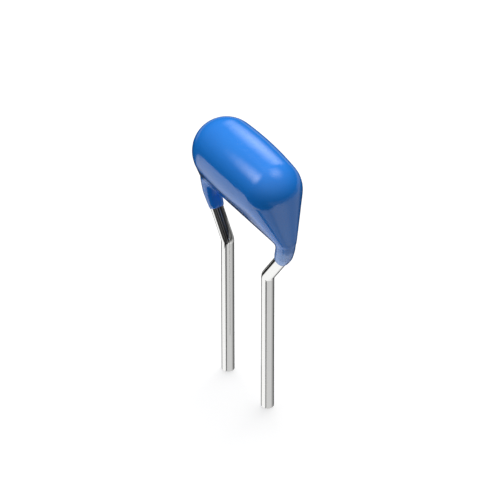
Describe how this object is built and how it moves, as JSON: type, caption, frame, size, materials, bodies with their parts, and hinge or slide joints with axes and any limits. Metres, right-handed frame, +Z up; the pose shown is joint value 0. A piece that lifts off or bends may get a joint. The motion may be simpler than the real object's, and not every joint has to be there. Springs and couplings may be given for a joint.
{
  "type": "multilayer ceramic capacitor",
  "caption": "Radial-leaded capacitor: a layered ceramic chip dipped in blue resin, on kinked wire leads that are soldered into a circuit board.",
  "frame": {"origin": "midway between the leads, at the board's upper face, where the straight legs end and the kinks begin", "axes": "+X through both leads, +Y across the thin way, +Z up from the board through the body"},
  "size_m": [0.0056, 0.0026, 0.0115],
  "materials": {
    "blue_resin": "glossy dipped epoxy",
    "fired_ceramic": "matt, fired",
    "electrode_metal": "fired nickel print",
    "cap_metal": "matt tin plate",
    "solder": "satin solder",
    "tinned_wire": "bright tinned wire"
  },
  "bodies": {
    "root": {"epoxy_coating": "blue_resin", "ceramic_dielectric": "fired_ceramic", "electrode_left_1": "electrode_metal", "electrode_left_2": "electrode_metal", "electrode_left_3": "electrode_metal", "electrode_left_4": "electrode_metal", "electrode_left_5": "electrode_metal", "electrode_left_6": "electrode_metal", "electrode_right_1": "electrode_metal", "electrode_right_2": "electrode_metal", "electrode_right_3": "electrode_metal", "electrode_right_4": "electrode_metal", "electrode_right_5": "electrode_metal", "electrode_right_6": "electrode_metal", "termination_left": "cap_metal", "termination_right": "cap_metal", "solder_left": "solder", "solder_right": "solder", "lead_left": "tinned_wire", "lead_right": "tinned_wire"}
  },
  "joints": []
}
